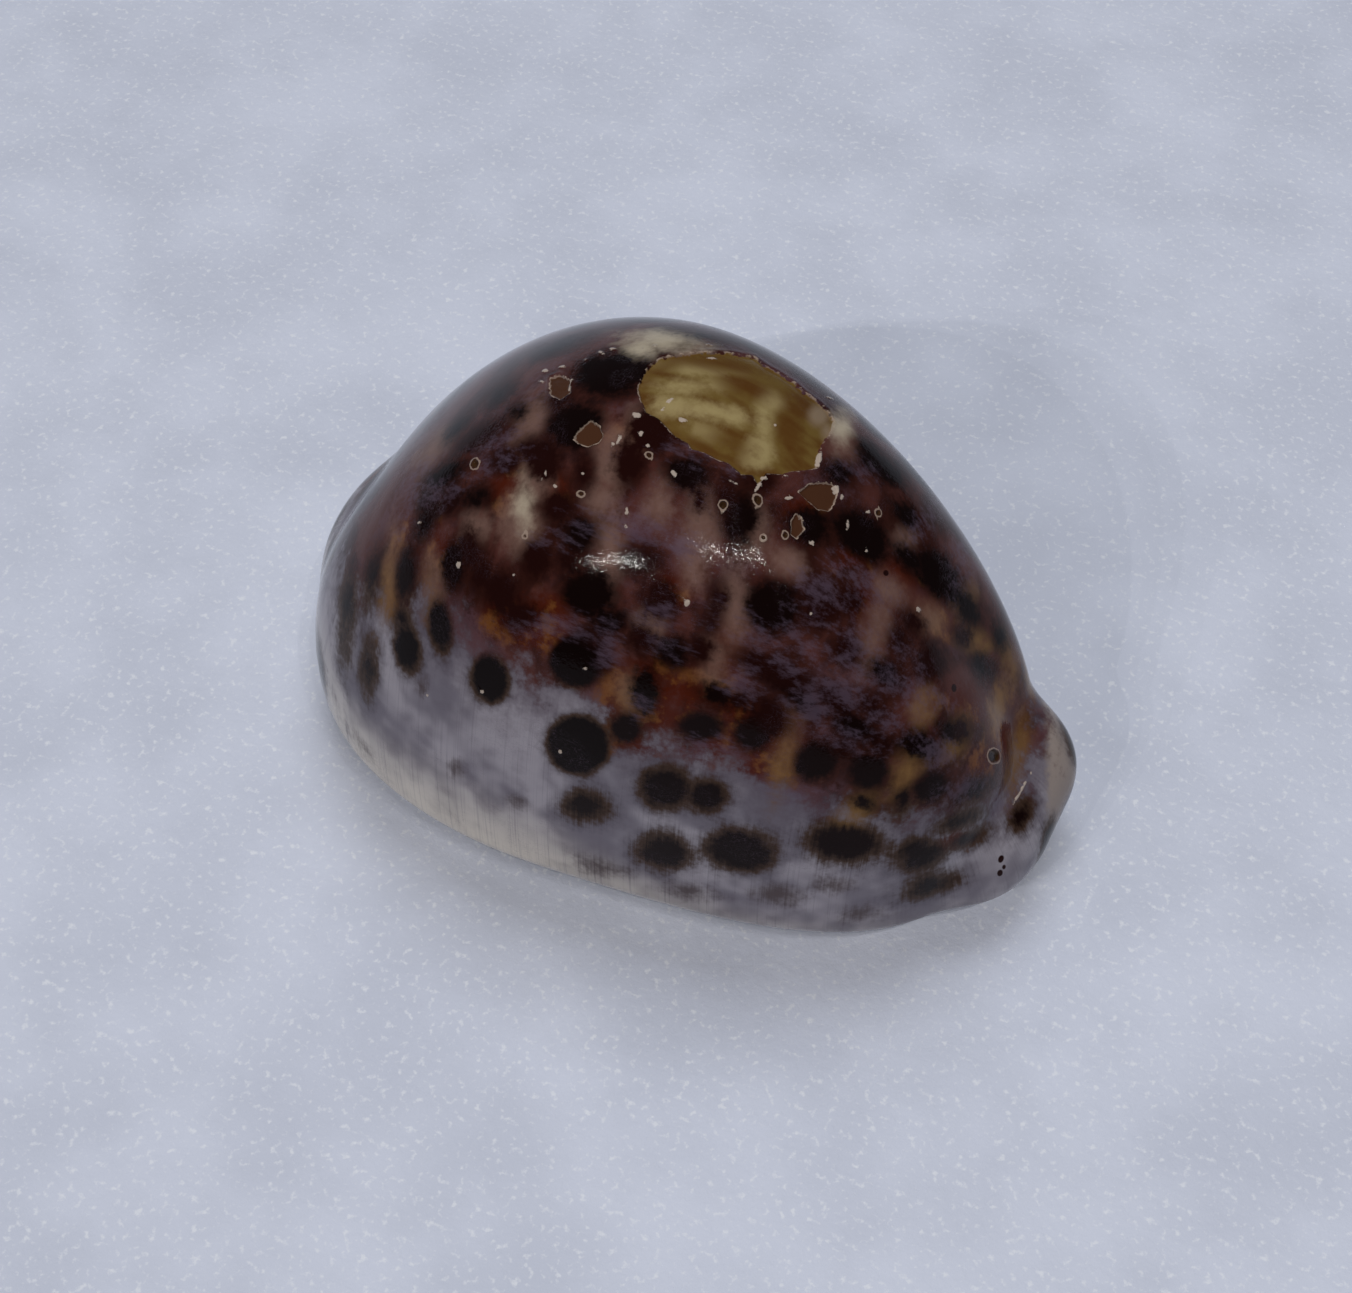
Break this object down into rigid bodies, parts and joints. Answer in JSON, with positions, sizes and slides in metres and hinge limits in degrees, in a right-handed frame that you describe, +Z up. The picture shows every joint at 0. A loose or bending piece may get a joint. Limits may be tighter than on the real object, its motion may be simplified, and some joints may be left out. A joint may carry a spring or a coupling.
{
  "type": "tiger cowrie shell",
  "caption": "Glossy humped sea-snail shell with a flat base, a long toothed aperture, a hollow inside and a dark-spotted worn back. Rests on its base.",
  "frame": {"origin": "middle of the base of the shell's bounding box, on the surface that the base rests on", "axes": "+X towards the narrow front end with the two-lipped beak, +Y towards the inner-lip side, -Y towards the outer-lip side, +Z up to the crest of the back"},
  "size_m": [0.0801, 0.0543, 0.0454],
  "materials": {
    "shell_glaze": "glossy"
  },
  "bodies": {
    "root": {"shell": "shell_glaze"}
  },
  "joints": []
}
